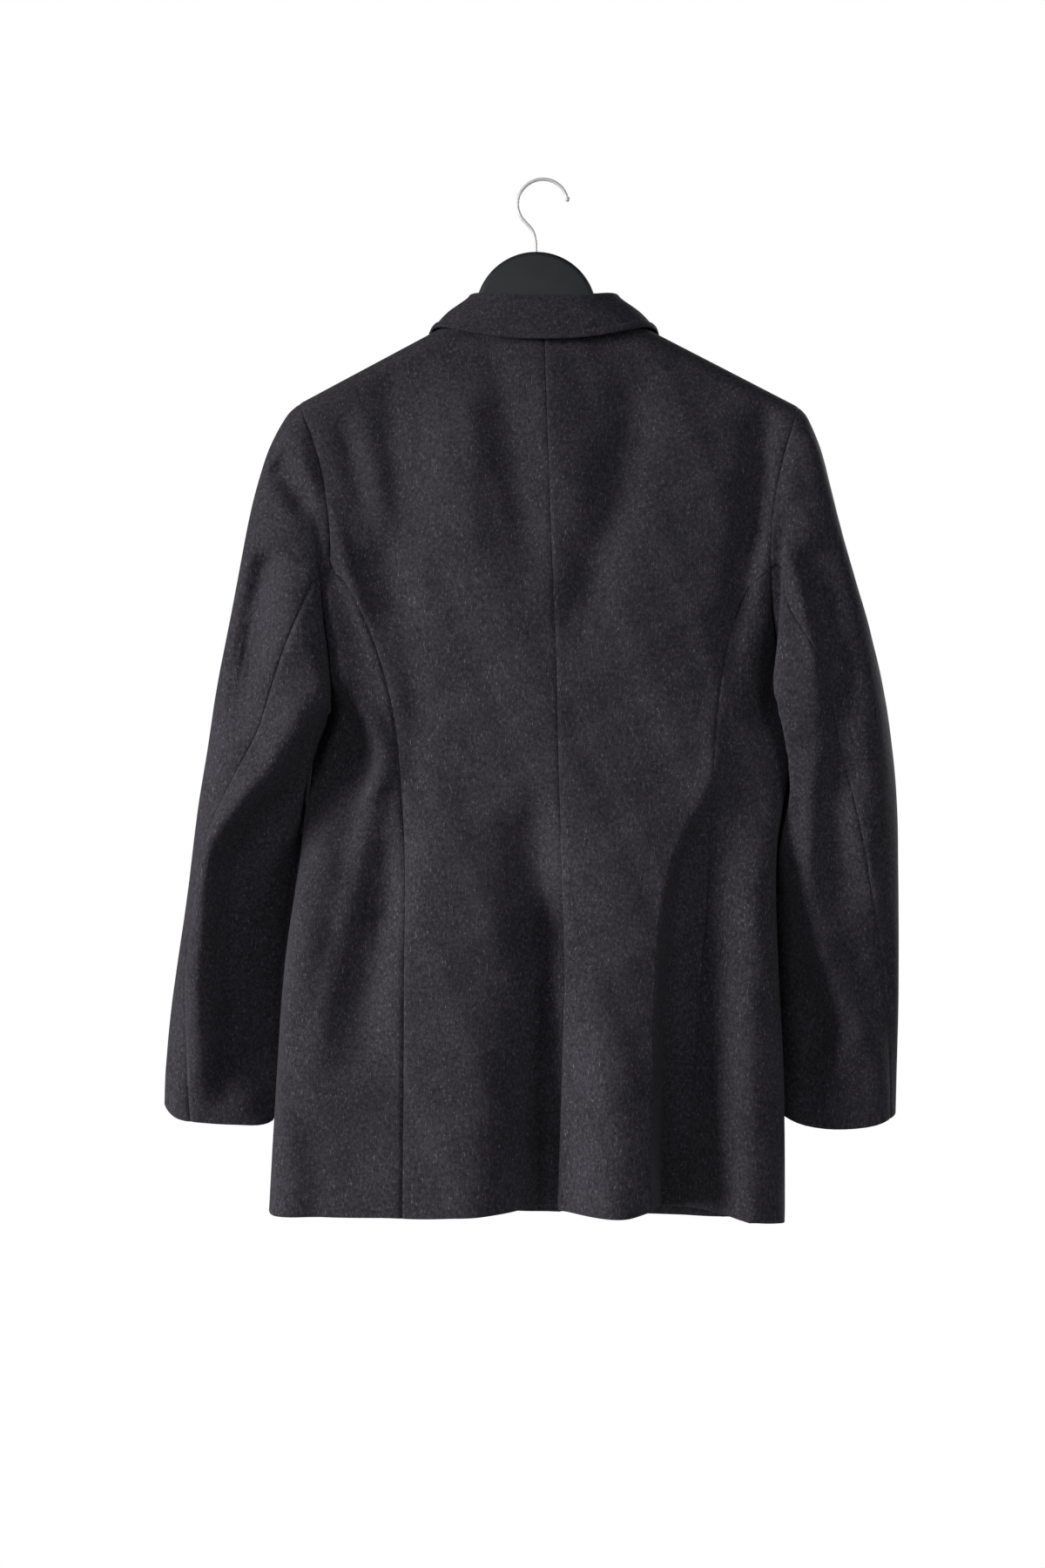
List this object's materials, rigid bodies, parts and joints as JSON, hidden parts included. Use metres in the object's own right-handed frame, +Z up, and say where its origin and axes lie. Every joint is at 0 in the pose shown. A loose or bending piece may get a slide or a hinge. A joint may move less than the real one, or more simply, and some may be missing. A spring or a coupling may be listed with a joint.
{
  "type": "wool blazer on a coat hanger",
  "caption": "Tailored wool blazer with set-in sleeves, notched collar and centre back vent, hanging by a plain flat hanger with a wire hook.",
  "frame": {"origin": "Where the rail bears inside the top of the hook.", "axes": "+Z up, out of the top of the hook; +Y from the back of the blazer to its front; +X from the wearer's left to the wearer's right, so the blazer's back faces -Y."},
  "size_m": [0.668, 0.148, 0.939],
  "materials": {
    "wool": "soft matte wool melton, charcoal heather",
    "horn": "satin dark imitation horn",
    "hanger": "matte black",
    "chrome": "bright plated steel wire"
  },
  "bodies": {
    "root": {"back_left": "wool", "back_right": "wool", "side_body_left": "wool", "side_body_right": "wool", "front_left": "wool", "front_right": "wool", "top_sleeve_left": "wool", "top_sleeve_right": "wool", "under_sleeve_left": "wool", "under_sleeve_right": "wool", "collar": "wool", "lapel_left": "wool", "lapel_right": "wool", "vent_underlap": "wool", "button_1": "horn", "button_2": "horn", "button_3": "horn", "hanger": "hanger", "hook": "chrome"}
  },
  "joints": []
}
